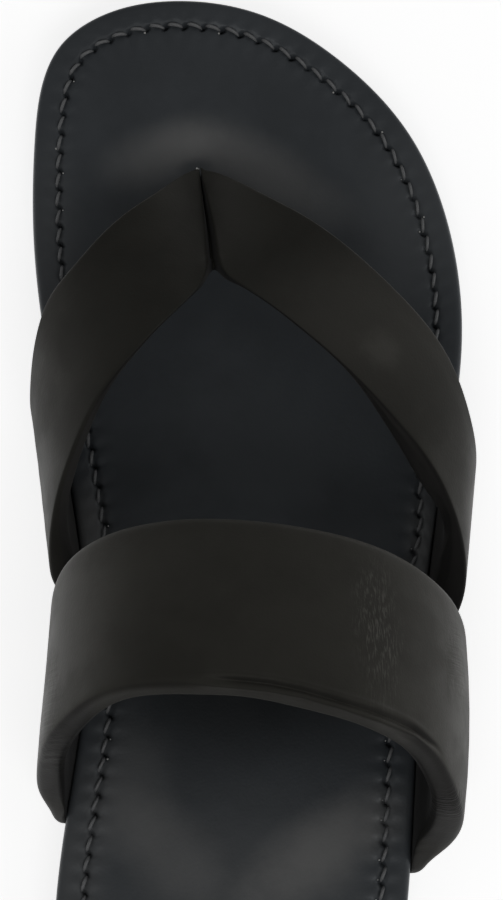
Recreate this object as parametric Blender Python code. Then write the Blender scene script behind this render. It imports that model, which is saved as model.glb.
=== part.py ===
"""Open-toe thong sandal for the right foot: outsole, footbed, thong strap and instep strap.

Sizes are in millimetres and are turned into metres where a mesh is made. In the working frame
the heel tip lies at y = 0, the toe points along +Y, +X is the lateral side and the floor is z = 0.
"""

import math

import bmesh
import bpy
import numpy as np

MM = 0.001

# Driving dimensions of the sole
LENGTH = 261.0
BALL_WIDTH = 98.8
FOOTBED_THICKNESS = 5.0
FORE_SOLE = 6.0
HEEL_SOLE = 10.0
TOE_SPRING = 5.0
ARCH_LIFT = 2.5
OUTSOLE_INSET = 0.6
EDGE_ROUND = 1.5
SEAT_GAP = 0.3

# Places along the sole, as shares of its length from the heel
HEEL_PITCH_END = 0.27
FORE_LEVEL_START = 0.60
SPRING_START = 0.80
ARCH_SPAN = (0.29, 0.55)

# Driving dimensions of the last and of the straps that lie on it
INSTEP_HEIGHT = 60.0
SECTION_POWER = 2.3
MEDIAL_REACH = 42.0
LATERAL_REACH = 21.0
EDGE_GAP = 0.9
CLEFT_REACH = 13.0
STRAP_THICKNESS = 6.0
TAB_THICKNESS = 2.2
UNDERCUT_RISE = 1.17
TAB_LENGTH = 12.0
SWELL_LENGTH = 15.0
SEAM_BULK = 6.0
SEAM_DEPTH = 3.0
SEAM_REACH = 1.7
SEAM_STOPS = (3.3, 2.3, 1.3, 0.5)

# The toe post, its slot in the footbed and its anchor plate under the footbed
POST_WIDTH = 4.4
POST_SPAN = (0.786, 0.826)
POST_OVERLAP = 1.5
ANCHOR_WIDTH = 13.0
ANCHOR_MARGIN = 4.0

# How finely the curves are cut into facets, and the small steps used to read slopes
SOLE_STATIONS = 60
SOLE_ACROSS = 7
STRAP_STEP = 3.6
POCKET_STATIONS = 9
POST_STATIONS = 5
OUTLINE_SAMPLES = 3000
PATH_SAMPLES = 481
SLOPE_STEP = 0.2
SLOPE_SHARE = 0.004
SHARP_ANGLE = 35.0
CUT_PAST = 8.0

# Outline of the footbed from above: along is a share of LENGTH, across a share of BALL_WIDTH
OUTLINE_COLUMNS = ("place", "along", "across")
OUTLINE = (
    ("heel tip", 0.000, -0.086),
    ("medial heel corner", 0.052, -0.361),
    ("medial heel side", 0.177, -0.441),
    ("medial heel front", 0.288, -0.412),
    ("medial arch", 0.415, -0.374),
    ("medial waist", 0.523, -0.398),
    ("medial behind ball", 0.646, -0.457),
    ("medial ball", 0.762, -0.504),
    ("medial big toe", 0.877, -0.509),
    ("medial toe corner", 0.961, -0.449),
    ("toe shoulder", 0.9905, -0.330),
    ("toe tip", 1.000, -0.185),
    ("lateral second toe", 0.988, 0.024),
    ("lateral third toe", 0.949, 0.204),
    ("lateral fourth toe", 0.877, 0.379),
    ("lateral little toe", 0.805, 0.457),
    ("lateral ball", 0.688, 0.488),
    ("lateral behind ball", 0.537, 0.424),
    ("lateral waist", 0.408, 0.386),
    ("lateral heel front", 0.277, 0.363),
    ("lateral heel side", 0.177, 0.339),
    ("lateral heel corner", 0.052, 0.204),
)

# Ridge of the last over the footbed: height is a share of INSTEP_HEIGHT, and cleft is the share
# of that height by which the straps dip between the first two toes. The sideways place of the
# ridge and the bulges out from the edges of the footbed are in millimetres
RIDGE_COLUMNS = ("place", "along", "across", "height", "cleft", "medial_bulge", "lateral_bulge")
RIDGE = (
    ("toes", 0.900, -13.8, 0.26, 0.90, -1.0, -2.0),
    ("front of the toe post", 0.850, -12.4, 0.33, 0.86, -1.0, -2.0),
    ("rear of the thong seam", 0.738, -8.8, 0.47, 0.30, 0.2, -1.0),
    ("ball", 0.615, -7.8, 0.64, 0.00, -0.9, 1.6),
    ("front of the instep", 0.500, -8.8, 0.78, 0.00, 3.3, 3.5),
    ("rear of the instep", 0.3615, -9.5, 1.00, 0.00, 3.1, 5.2),
    ("ankle", 0.200, -9.5, 1.16, 0.00, 2.0, 6.0),
)

# Edges of the straps in millimetres: crown of the top, radius of its edges, inset of the lower
# edges, and how far the padding thins the strap from inside where it is fully swollen
BAND_EDGES = (0.8, 2.2, 1.3, 0.0)
ARM_EDGES = (0.4, 0.8, 2.4, 2.4)

# Straps on the last: around is the angle in degrees about the ridge, from 0 at the lateral edge
# of the sole over 90 on the ridge to 180 at the medial edge; front and rear are shares of LENGTH
STRAP_COLUMNS = ("around", "front", "rear")
MEDIAL_ARM = (
    (180.0, 0.600, 0.455),
    (165.0, 0.643, 0.487),
    (152.0, 0.684, 0.522),
    (144.0, 0.707, 0.550),
    (128.0, 0.739, 0.606),
    (110.0, 0.788, 0.654),
    (93.4, 0.832, 0.709),
    (90.0, 0.832, 0.723),
)
LATERAL_ARM = (
    (90.0, 0.832, 0.723),
    (86.6, 0.8345, 0.714),
    (73.0, 0.7835, 0.6625),
    (54.0, 0.719, 0.601),
    (35.0, 0.660, 0.549),
    (22.0, 0.612, 0.508),
    (10.0, 0.580, 0.462),
    (0.0, 0.554, 0.415),
)
INSTEP_BAND = (
    (180.0, 0.431, 0.273),
    (160.0, 0.458, 0.312),
    (142.0, 0.479, 0.334),
    (124.0, 0.492, 0.352),
    (106.0, 0.498, 0.3615),
    (90.0, 0.500, 0.3615),
    (72.0, 0.494, 0.348),
    (54.0, 0.483, 0.335),
    (36.0, 0.465, 0.315),
    (20.0, 0.444, 0.281),
    (8.0, 0.417, 0.254),
    (0.0, 0.388, 0.231),
)

# Colours as linear red, green and blue, with roughness
SOLE_FINISH = ((0.012, 0.012, 0.013), 0.60)
FOOTBED_FINISH = ((0.020, 0.021, 0.023), 0.42)
STRAP_FINISH = ((0.014, 0.013, 0.012), 0.58)


# Curves and tables


def column(table, index):
    return np.array([row[index] for row in table], float)


def smooth_value(stops, values, at):
    """Cubic Hermite curve through a short table, level beyond its ends."""
    stops, values = np.asarray(stops, float), np.asarray(values, float)
    if stops[0] > stops[-1]:
        stops, values = stops[::-1], values[::-1]
    slopes = np.gradient(values, stops)
    at = np.clip(at, stops[0], stops[-1])
    left = np.clip(np.searchsorted(stops, at, side="right") - 1, 0, len(stops) - 2)
    span = stops[left + 1] - stops[left]
    t = (at - stops[left]) / span
    ahead = t * t * (3 - 2 * t)
    bend = (t - 2 * t * t + t**3) * slopes[left] + (t**3 - t * t) * slopes[left + 1]
    return values[left] * (1 - ahead) + values[left + 1] * ahead + bend * span


def smooth_step(x):
    x = np.clip(x, 0.0, 1.0)
    return x * x * (3 - 2 * x)


def closed_spline(points, count):
    """Periodic cubic spline through points, by chord length, read at count even parameters."""
    points = np.asarray(points, float)
    chords = np.linalg.norm(np.roll(points, -1, axis=0) - points, axis=1)
    total = len(points)
    system = np.zeros((total, total))
    known = np.zeros((total, 2))
    for i in range(total):
        before, after = chords[i - 1], chords[i]
        system[i, i - 1] += before
        system[i, i] += 2 * (before + after)
        system[i, (i + 1) % total] += after
        rise = (points[(i + 1) % total] - points[i]) / after
        known[i] = 6 * (rise - (points[i] - points[i - 1]) / before)
    bends = np.linalg.solve(system, known)
    starts = np.concatenate([[0.0], np.cumsum(chords)])
    at = np.linspace(0.0, starts[-1], count, endpoint=False)
    seg = np.clip(np.searchsorted(starts, at, side="right") - 1, 0, total - 1)
    nxt = (seg + 1) % total
    h = chords[seg][:, None]
    b = (at - starts[seg])[:, None] / h
    a = 1 - b
    bow = ((a**3 - a) * bends[seg] + (b**3 - b) * bends[nxt]) * h * h / 6
    return a * points[seg] + b * points[nxt] + bow


# The sole's outline and levels


def outline_sides():
    """Dense medial and lateral sides of the outline, each running from heel tip to toe tip."""
    places = np.stack([column(OUTLINE, 2) * BALL_WIDTH, column(OUTLINE, 1) * LENGTH], axis=1)
    loop = closed_spline(places, OUTLINE_SAMPLES)
    heel, toe = int(np.argmin(loop[:, 1])), int(np.argmax(loop[:, 1]))
    loop = np.roll(loop, -heel, axis=0)
    toe = (toe - heel) % len(loop)
    medial = loop[: toe + 1]
    lateral = np.vstack([loop[toe:], loop[:1]])[::-1]
    for side in (medial, lateral):
        low, high = side[0, 1], side[-1, 1]
        side[:, 1] = (side[:, 1] - low) * LENGTH / (high - low)
    return medial, lateral


MEDIAL, LATERAL = outline_sides()


def edge_x(side, y):
    """Sideways place of one edge of the footbed at a distance y from the heel tip."""
    return np.interp(y, side[:, 1], side[:, 0])


def toe_spring(y):
    share = np.clip((y / LENGTH - SPRING_START) / (1 - SPRING_START), 0.0, 1.0)
    return TOE_SPRING * share**2


def outsole_top(y):
    fall = (y / LENGTH - HEEL_PITCH_END) / (FORE_LEVEL_START - HEEL_PITCH_END)
    return HEEL_SOLE + (FORE_SOLE - HEEL_SOLE) * smooth_step(fall) + toe_spring(y)


def outsole_bottom(y):
    start, end = ARCH_SPAN
    share = np.clip((y / LENGTH - start) / (end - start), 0.0, 1.0)
    return ARCH_LIFT * np.sin(math.pi * share) ** 2 + toe_spring(y)


def footbed_bottom(y):
    return outsole_top(y) + SEAT_GAP


def footbed_top(y):
    return footbed_bottom(y) + FOOTBED_THICKNESS


# The last that the straps are shaped on


def ridge_value(name, y):
    return smooth_value(column(RIDGE, 1), column(RIDGE, RIDGE_COLUMNS.index(name)), y / LENGTH)


def last_point(y, around):
    """Point on the inside of the straps, at y from the heel tip and an angle around the ridge."""
    turn = math.radians(around)
    lateral_side = around < 90.0
    ridge = ridge_value("across", y)
    edge = edge_x(LATERAL if lateral_side else MEDIAL, y)
    outward = 1.0 if lateral_side else -1.0
    height = INSTEP_HEIGHT * ridge_value("height", y)
    cleft = height * ridge_value("cleft", y)
    bulge = ridge_value("lateral_bulge" if lateral_side else "medial_bulge", y)
    across = abs(math.cos(turn)) ** (2 / SECTION_POWER)
    up = abs(math.sin(turn)) ** (2 / SECTION_POWER)
    rise = (FOOTBED_THICKNESS + height) * up
    reach = LATERAL_REACH if lateral_side else MEDIAL_REACH
    pulled_in = (bulge - EDGE_GAP) * (1 - smooth_step(rise / reach))
    half = (edge - ridge) * outward + bulge
    aside = (half - pulled_in) * across
    dip = cleft * math.exp(-((aside / CLEFT_REACH) ** 2))
    return np.array([ridge + outward * aside, y, footbed_bottom(y) + rise - dip])


def strap_edges(rows, around):
    stops = column(rows, 0)
    front = LENGTH * smooth_value(stops, column(rows, 1), around)
    rear = LENGTH * smooth_value(stops, column(rows, 2), around)
    return float(front), float(rear)


def tab_point(y, outward, inward):
    """Point on the upper face of a strap's tab, under the footbed, inward from the sole's edge."""
    edge = edge_x(LATERAL if outward > 0 else MEDIAL, y)
    return np.array([edge + outward * (EDGE_GAP - inward), y, footbed_bottom(y) - SEAT_GAP])


# Straps as lofts


def strap_section(width, low, high, edges):
    """Closed section of a padded strap as (across, up) pairs, from a level low to a level high.

    It is flat below, undercut at its lower edges and crowned on top.
    """
    crown, edge_round, undercut, _ = edges
    edge_round = min(0.60 * (high - low), edge_round)
    rise = min(high - low - edge_round, UNDERCUT_RISE * undercut)
    crown = crown * min(1.0, high / STRAP_THICKNESS)
    section = []
    for share in (0.0, 1 / 3, 2 / 3, 1.0):
        section.append((rise / UNDERCUT_RISE * (1 - share), low + rise * share))
    for turn in np.radians([0.0, 30.0, 60.0, 90.0]):
        lift = high - edge_round * (1 - math.sin(turn))
        section.append((edge_round * (1 - math.cos(turn)), lift))
    for share in (0.25, 0.42, 0.58, 0.75):
        section.append((width * share, high + crown * math.sin(math.pi * share)))
    mirrored = [(width - across, up) for across, up in section[:8]]
    section += mirrored[::-1]
    for share in (0.75, 0.5, 0.25):
        section.append((width * share, low))
    return section


def ring_on(base, low, high, edges):
    """Ring of a strap's section laid on base(along, share), the inner face around one place.

    Along is the distance from that place and share runs across the strap from front to rear.
    """
    width = float(np.linalg.norm(base(0.0, 1.0) - base(0.0, 0.0)))
    ring = []
    for across, up in strap_section(width, low, high, edges):
        share = across / width
        along = base(SLOPE_STEP, share) - base(-SLOPE_STEP, share)
        before, after = max(share - SLOPE_SHARE, 0.0), min(share + SLOPE_SHARE, 1.0)
        normal = np.cross(base(0.0, after) - base(0.0, before), along)
        ring.append(base(0.0, share) + normal * (up / np.linalg.norm(normal)))
    return np.array(ring)


def path_of(rows):
    """A strap's inner face over the last, as a function of distance and share, and its length.

    The distance runs along the strap's middle, from the first of the rows to the last.
    """
    angles = np.linspace(rows[0][0], rows[-1][0], PATH_SAMPLES)
    middles = []
    for around in angles:
        front, rear = strap_edges(rows, around)
        middles.append(last_point((front + rear) / 2, around))
    steps = np.linalg.norm(np.diff(np.array(middles), axis=0), axis=1)
    distance = np.concatenate([[0.0], np.cumsum(steps)])

    def face(along, share):
        around = float(np.interp(along, distance, angles))
        front, rear = strap_edges(rows, around)
        return last_point(front + (rear - front) * share, around)

    return face, float(distance[-1])


def strap_rings(rows, stops, sole_ends, edges, seam=None):
    """Rings over the last at the distances in stops.

    The padding thins towards the distances in sole_ends, and dips to a valley at the seam.
    """
    face, _ = path_of(rows)
    rings = []
    for stop in stops:
        from_sole = min(abs(stop - end) for end in sole_ends)
        swell = smooth_step(from_sole / SWELL_LENGTH)
        low, high = edges[-1] * swell, TAB_THICKNESS + (STRAP_THICKNESS - TAB_THICKNESS) * swell
        if seam is not None:
            low *= 1 - math.exp(-(((stop - seam) / SEAM_BULK) ** 2))
            high -= SEAM_DEPTH * math.exp(-(((stop - seam) / SEAM_REACH) ** 2))

        def base(along, share, stop=stop):
            return face(stop + along, share)

        rings.append(ring_on(base, low, high, edges))
    return rings


def tab_rings(end_row, outward, edges):
    """Rings of the thin tab that a strap ends in, from its inner end to the edge of the sole."""
    front, rear = end_row[1] * LENGTH, end_row[2] * LENGTH
    rings = []
    for inward in (TAB_LENGTH, TAB_LENGTH / 2, SEAT_GAP):

        def base(along, share, inward=inward):
            return tab_point(front + (rear - front) * share, outward, inward + along * outward)

        rings.append(ring_on(base, 0.0, TAB_THICKNESS, edges))
    return rings


def instep_loft():
    """Rings of the instep band, from its medial tab to its lateral tab."""
    _, length = path_of(INSTEP_BAND)
    stops = np.linspace(SLOPE_STEP, length - SLOPE_STEP, int(length / STRAP_STEP))
    over = strap_rings(INSTEP_BAND, stops, (0.0, length), BAND_EDGES)
    medial_tab = tab_rings(INSTEP_BAND[0], -1.0, BAND_EDGES)
    lateral_tab = tab_rings(INSTEP_BAND[-1], 1.0, BAND_EDGES)[::-1]
    return medial_tab + over + lateral_tab


def arm_stops(length):
    """Distances of an arm's rings from the edge of the sole, closer together at the seam."""
    last_even = length - SEAM_STOPS[0] - STRAP_STEP / 2
    even = np.linspace(SLOPE_STEP, last_even, int(length / STRAP_STEP))
    return np.concatenate([even, length - np.array(SEAM_STOPS)])


def thong_loft():
    """Rings of the thong, from its medial tab over the seam to its lateral tab."""
    _, medial_length = path_of(MEDIAL_ARM)
    stops = arm_stops(medial_length)
    medial = strap_rings(MEDIAL_ARM, stops, (0.0,), ARM_EDGES, medial_length)
    _, lateral_length = path_of(LATERAL_ARM)
    stops = (lateral_length - arm_stops(lateral_length))[::-1]
    lateral = strap_rings(LATERAL_ARM, stops, (lateral_length,), ARM_EDGES, 0.0)
    front, rear = MEDIAL_ARM[-1][1] * LENGTH, MEDIAL_ARM[-1][2] * LENGTH

    def valley(along, share):
        return last_point(front + (rear - front) * share, 90.0) + np.array([along, 0.0, 0.0])

    seam = [ring_on(valley, 0.0, STRAP_THICKNESS - SEAM_DEPTH, ARM_EDGES)]
    medial_tab = tab_rings(MEDIAL_ARM[0], -1.0, ARM_EDGES)
    lateral_tab = tab_rings(LATERAL_ARM[-1], 1.0, ARM_EDGES)[::-1]
    return medial_tab + medial + seam + lateral + lateral_tab


# Sole layers as lofts


def plan_normal(side, y, outward):
    """Unit normal of the outline, pointing out of the sole; along the sole at both tips."""
    if y in (0.0, LENGTH):
        return np.array([0.0, 1.0 if y > 0.0 else -1.0])
    index = int(np.argmin(np.abs(side[:, 1] - y)))
    run = side[min(index + 2, len(side) - 1)] - side[max(index - 2, 0)]
    normal = np.array([run[1], -run[0]]) * outward
    return normal / np.linalg.norm(normal)


def layer_rings(low_edge, high_edge, low_level, high_level, inset):
    """Rings across a sole layer, one for each station along the sole.

    low_edge and high_edge list (inset, height) steps of the rounded lower and upper edges, with
    the height measured up from the lower face and down from the upper one.
    """
    shares = 0.5 - 0.5 * np.cos(np.linspace(0.0, math.pi, SOLE_STATIONS))
    shares[-1] = 1.0
    across_stops = np.linspace(0.0, 1.0, SOLE_ACROSS + 1)[1:-1]
    rings = []
    for y in shares * LENGTH:
        corners = []
        for side, outward in ((MEDIAL, -1.0), (LATERAL, 1.0)):
            normal = plan_normal(side, y, outward)
            corners.append((np.array([edge_x(side, y), y]), normal))
        walls = []
        for place, normal in corners:
            wall = []
            for step, rise in low_edge:
                spot = place - normal * (inset + step)
                wall.append([*spot, low_level(spot[1]) + rise])
            for step, drop in high_edge:
                spot = place - normal * (inset + step)
                wall.append([*spot, high_level(spot[1]) - drop])
            walls.append(np.array(wall))
        medial, lateral = walls
        top = [medial[-1] + (lateral[-1] - medial[-1]) * share for share in across_stops]
        bottom = [lateral[0] + (medial[0] - lateral[0]) * share for share in across_stops]
        for spot in top:
            spot[2] = high_level(spot[1])
        for spot in bottom:
            spot[2] = low_level(spot[1])
        rings.append(np.vstack([medial, top, lateral[::-1], bottom]))
    return rings


def rounded_edge(radius):
    """Steps of a rounded edge as (inset, height), from the wall to the face."""
    turns = np.radians([0.0, 45.0, 90.0])
    return [(radius * (1 - math.cos(turn)), radius * (1 - math.sin(turn))) for turn in turns]


# Meshes, materials and cuts


def finish_material(name, finish):
    colour, roughness = finish
    material = bpy.data.materials.new(name)
    material.use_nodes = True
    shader = material.node_tree.nodes["Principled BSDF"]
    shader.inputs["Base Color"].default_value = (*colour, 1.0)
    shader.inputs["Roughness"].default_value = roughness
    shader.inputs["Metallic"].default_value = 0.0
    return material


def mesh_object(name, build, collection, frame):
    """An object whose mesh is filled in by build, a function that takes an empty bmesh."""
    shape = bmesh.new()
    build(shape)
    bmesh.ops.remove_doubles(shape, verts=shape.verts, dist=0.002 * MM)
    bmesh.ops.dissolve_degenerate(shape, edges=shape.edges, dist=0.001 * MM)
    bmesh.ops.recalc_face_normals(shape, faces=shape.faces)
    mesh = bpy.data.meshes.new(name)
    shape.to_mesh(mesh)
    shape.free()
    mesh.shade_smooth()
    mesh.set_sharp_from_angle(angle=math.radians(SHARP_ANGLE))
    obj = bpy.data.objects.new(name, mesh)
    obj.parent = frame
    collection.objects.link(obj)
    return obj


def loft_builder(rings, capped):
    """A function that skins rings of equally many points, with flat ends where capped."""

    def build(shape):
        rows = [[shape.verts.new(point * MM) for point in ring] for ring in rings]
        around = len(rows[0])
        for near, far in zip(rows, rows[1:]):
            for i in range(around):
                j = (i + 1) % around
                shape.faces.new((near[i], near[j], far[j], far[i]))
        if capped:
            shape.faces.new(rows[0])
            shape.faces.new(rows[-1])

    return build


def block_builder(low, high):
    """A function that makes a box between two corners."""

    def build(shape):
        made = bmesh.ops.create_cube(shape, size=1.0)
        middle, size = (low + high) / 2, high - low
        for vert in made["verts"]:
            vert.co = [(middle[i] + vert.co[i] * size[i]) * MM for i in range(3)]

    return build


def pocket_rings(end_row, outward):
    """Rings of the cutter that makes room for a strap's tab in the top of the outsole."""
    front = end_row[1] * LENGTH + SEAT_GAP
    rear = end_row[2] * LENGTH - SEAT_GAP
    rings = []
    for y in np.linspace(rear, front, POCKET_STATIONS):
        inner, _, top = tab_point(y, outward, TAB_LENGTH + SEAT_GAP)
        outer = tab_point(y, outward, -CUT_PAST)[0]
        low, high = top - TAB_THICKNESS - SEAT_GAP, top + CUT_PAST
        corners = [(inner, low), (outer, low), (outer, high), (inner, high)]
        rings.append(np.array([[x, y, z] for x, z in corners]))
    return rings


def post_corners(margin, low, high, width, reach):
    middle = ridge_value("across", LENGTH * sum(POST_SPAN) / 2)
    front, rear = POST_SPAN[1] * LENGTH + reach, POST_SPAN[0] * LENGTH - reach
    half = width / 2 + margin
    low_corner = np.array([middle - half, rear - margin, low])
    high_corner = np.array([middle + half, front + margin, high])
    return low_corner, high_corner


def post_rings(low):
    """Rings of the toe post, whose top runs up into the straps along their seam."""
    middle = ridge_value("across", LENGTH * sum(POST_SPAN) / 2)
    sides = (middle - POST_WIDTH / 2, middle + POST_WIDTH / 2)
    rings = []
    for y in np.linspace(POST_SPAN[0], POST_SPAN[1], POST_STATIONS) * LENGTH:
        top = last_point(y, 90.0)[2] + POST_OVERLAP
        corners = [(sides[0], low), (sides[1], low), (sides[1], top), (sides[0], top)]
        rings.append(np.array([[x, y, z] for x, z in corners]))
    return rings


def hide_as_cutter(obj):
    obj.hide_render = True
    obj.display_type = "WIRE"


def add_boolean(obj, other, operation):
    modifier = obj.modifiers.new(f"{operation.lower()}_{other.name}", "BOOLEAN")
    modifier.operation = operation
    modifier.object = other
    modifier.solver = "EXACT"


# The pieces of the sandal


def make_outsole(parts, frame):
    edge = rounded_edge(EDGE_ROUND)
    low_edge = [(step, rise) for step, rise in reversed(edge)]
    high_edge = [(0.0, 0.0)]
    rings = layer_rings(low_edge, high_edge, outsole_bottom, outsole_top, OUTSOLE_INSET)
    outsole = mesh_object("outsole", loft_builder(rings, False), parts, frame)
    outsole.data.materials.append(finish_material("outsole_finish", SOLE_FINISH))
    return outsole


def make_footbed(parts, frame):
    low_edge = [(0.0, 0.0)]
    high_edge = rounded_edge(EDGE_ROUND)
    rings = layer_rings(low_edge, high_edge, footbed_bottom, footbed_top, 0.0)
    footbed = mesh_object("footbed", loft_builder(rings, False), parts, frame)
    footbed.data.materials.append(finish_material("footbed_finish", FOOTBED_FINISH))
    return footbed


def make_thong(parts, frame):
    strap = mesh_object("thong_strap", loft_builder(thong_loft(), True), parts, frame)
    strap.data.materials.append(finish_material("thong_finish", STRAP_FINISH))
    return strap


def make_instep(parts, frame):
    strap = mesh_object("instep_strap", loft_builder(instep_loft(), True), parts, frame)
    strap.data.materials.append(finish_material("instep_finish", STRAP_FINISH))
    return strap


def anchor_levels():
    """Lowest and highest level of the toe post's anchor, below the footbed."""
    lowest = min(footbed_bottom(share * LENGTH) for share in POST_SPAN)
    return lowest - SEAT_GAP - TAB_THICKNESS, lowest - SEAT_GAP


def join_toe_post(thong, cutters, frame):
    """Joins the post and its anchor plate to the thong."""
    low, high = anchor_levels()
    plate = post_corners(0.0, low, high, ANCHOR_WIDTH, ANCHOR_MARGIN)
    builds = (
        ("toe_post", loft_builder(post_rings(low + TAB_THICKNESS / 2), True)),
        ("toe_anchor", block_builder(*plate)),
    )
    for name, build in builds:
        piece = mesh_object(name, build, cutters, frame)
        hide_as_cutter(piece)
        add_boolean(thong, piece, "UNION")


def cut_seats(outsole, footbed, cutters, frame):
    """Cuts seats for the tabs and the anchor in the outsole, and the post's slot in the footbed."""
    low, _ = anchor_levels()
    seats = [
        ("medial_thong_pocket", loft_builder(pocket_rings(MEDIAL_ARM[0], -1.0), True)),
        ("lateral_thong_pocket", loft_builder(pocket_rings(LATERAL_ARM[-1], 1.0), True)),
        ("medial_instep_pocket", loft_builder(pocket_rings(INSTEP_BAND[0], -1.0), True)),
        ("lateral_instep_pocket", loft_builder(pocket_rings(INSTEP_BAND[-1], 1.0), True)),
    ]
    deep = post_corners(SEAT_GAP, low - SEAT_GAP, low + CUT_PAST, ANCHOR_WIDTH, ANCHOR_MARGIN)
    seats.append(("anchor_seat", block_builder(*deep)))
    for name, build in seats:
        cutter = mesh_object(name, build, cutters, frame)
        hide_as_cutter(cutter)
        add_boolean(outsole, cutter, "DIFFERENCE")
    slot = post_corners(SEAT_GAP, low - CUT_PAST, low + 2 * CUT_PAST, POST_WIDTH, 0.0)
    cutter = mesh_object("post_slot", block_builder(*slot), cutters, frame)
    hide_as_cutter(cutter)
    add_boolean(footbed, cutter, "DIFFERENCE")


def clear_scene():
    for obj in list(bpy.data.objects):
        bpy.data.objects.remove(obj, do_unlink=True)


def new_collection(name):
    collection = bpy.data.collections.new(name)
    bpy.context.scene.collection.children.link(collection)
    return collection


def centre_on_floor(frame, parts):
    """Moves the frame so that the origin lies under the middle of the sandal, on the floor."""
    corners = np.vstack([[v.co for v in obj.data.vertices] for obj in parts])
    middle = (corners.min(axis=0) + corners.max(axis=0)) / 2
    frame.location = (-middle[0], -middle[1], 0.0)


def main():
    clear_scene()
    parts = new_collection("open_toe_sandal")
    cutters = new_collection("cutters")
    frame = bpy.data.objects.new("sandal_frame", None)
    parts.objects.link(frame)
    outsole = make_outsole(parts, frame)
    footbed = make_footbed(parts, frame)
    thong = make_thong(parts, frame)
    instep = make_instep(parts, frame)
    join_toe_post(thong, cutters, frame)
    cut_seats(outsole, footbed, cutters, frame)
    centre_on_floor(frame, (outsole, footbed, thong, instep))
    bpy.context.view_layer.update()


main()
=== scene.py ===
import math

import bmesh
import bpy
import numpy as np
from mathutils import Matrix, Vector


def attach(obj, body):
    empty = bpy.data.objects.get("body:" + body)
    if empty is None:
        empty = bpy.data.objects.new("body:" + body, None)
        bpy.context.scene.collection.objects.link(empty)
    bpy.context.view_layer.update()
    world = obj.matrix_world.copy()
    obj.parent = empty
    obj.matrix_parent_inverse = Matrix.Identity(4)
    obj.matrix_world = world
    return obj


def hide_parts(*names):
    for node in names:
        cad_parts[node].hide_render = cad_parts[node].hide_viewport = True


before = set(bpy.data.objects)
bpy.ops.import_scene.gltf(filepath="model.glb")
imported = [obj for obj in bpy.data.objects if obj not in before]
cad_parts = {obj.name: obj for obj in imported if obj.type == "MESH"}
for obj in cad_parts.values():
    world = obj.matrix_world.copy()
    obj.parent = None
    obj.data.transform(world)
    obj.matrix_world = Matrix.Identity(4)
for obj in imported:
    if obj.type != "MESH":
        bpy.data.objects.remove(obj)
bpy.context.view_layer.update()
scene = bpy.context.scene
mm = 0.001
print("frame loaded with", sorted(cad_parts))


# small helpers for working as in the viewport

def deselectAll():
    if bpy.context.mode != "OBJECT":
        bpy.ops.object.mode_set(mode="OBJECT")
    bpy.ops.object.select_all(action="DESELECT")


def activate(piece):
    deselectAll()
    piece.select_set(True)
    bpy.context.view_layer.objects.active = piece


def startEdit(piece, mode="VERT", first="DESELECT"):
    activate(piece)
    bpy.ops.object.mode_set(mode="EDIT")
    bpy.ops.mesh.select_mode(type=mode)
    bpy.ops.mesh.select_all(action=first)


def endEdit():
    bpy.ops.mesh.select_all(action="DESELECT")
    bpy.ops.object.mode_set(mode="OBJECT")


def readPlaces(piece):
    flat = np.empty(len(piece.data.vertices) * 3)
    piece.data.vertices.foreach_get("co", flat)
    return flat.reshape(-1, 3)


def readNormals(piece):
    flat = np.empty(len(piece.data.vertices) * 3, np.float32)
    piece.data.vertex_normals.foreach_get("vector", flat)
    return flat.reshape(-1, 3).astype(float)


def writePlaces(piece, places):
    piece.data.vertices.foreach_set("co", np.asarray(places, float).ravel())
    piece.data.update()


def subdivideSurface(piece, levels):
    activate(piece)
    rounder = piece.modifiers.new("rounder", "SUBSURF")
    rounder.levels = levels
    rounder.render_levels = levels
    bpy.ops.object.modifier_apply(modifier=rounder.name)


def smoothShading(piece, angle):
    activate(piece)
    bpy.ops.object.shade_smooth_by_angle(angle=math.radians(angle))


def smoothStep(x):
    x = np.clip(x, 0.0, 1.0)
    return x * x * (3 - 2 * x)


def ramp(x, low, high):
    return smoothStep((x - low) / (high - low))


def scatter(number, salt):
    # steady pseudo-random shares from 0 to 1
    value = np.sin(np.asarray(number) * 12.9898 + salt * 78.233) * 43758.5453
    return value - np.floor(value)


def countTriangles(piece):
    piece.data.calc_loop_triangles()
    return len(piece.data.loop_triangles)


# shader groups that several finishes share

def newGroup(name, inputs, outputs):
    tree = bpy.data.node_groups.new(name, "ShaderNodeTree")
    for title, value in inputs.items():
        kind = "NodeSocketVector" if isinstance(value, tuple) else "NodeSocketFloat"
        socket = tree.interface.new_socket(name=title, in_out="INPUT", socket_type=kind)
        socket.default_value = value
    for title in outputs:
        tree.interface.new_socket(name=title, in_out="OUTPUT", socket_type="NodeSocketFloat")
    return tree, tree.nodes.new("NodeGroupInput"), tree.nodes.new("NodeGroupOutput")


def addNode(tree, kind, settings=None, values=None):
    node = tree.nodes.new(kind)
    for key, value in (settings or {}).items():
        setattr(node, key, value)
    for key, value in (values or {}).items():
        node.inputs[key].default_value = value
    return node


def mathNode(tree, operation, first, second):
    node = addNode(tree, "ShaderNodeMath", {"operation": operation})
    for slot, value in enumerate((first, second)):
        if isinstance(value, (int, float)):
            node.inputs[slot].default_value = value
        else:
            tree.links.new(value, node.inputs[slot])
    return node.outputs[0]


def scaled(tree, value, factor):
    return mathNode(tree, "MULTIPLY", value, factor)


def rangeNode(tree, value, low, high, newLow=0.0, newHigh=1.0):
    node = addNode(tree, "ShaderNodeMapRange", {"interpolation_type": "SMOOTHSTEP"})
    tree.links.new(value, node.inputs["Value"])
    limits = {"From Min": low, "From Max": high, "To Min": newLow, "To Max": newHigh}
    for title, number in limits.items():
        node.inputs[title].default_value = number
    return node.outputs["Result"]


def objectPlace(tree):
    return addNode(tree, "ShaderNodeTexCoord").outputs["Object"]


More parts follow.
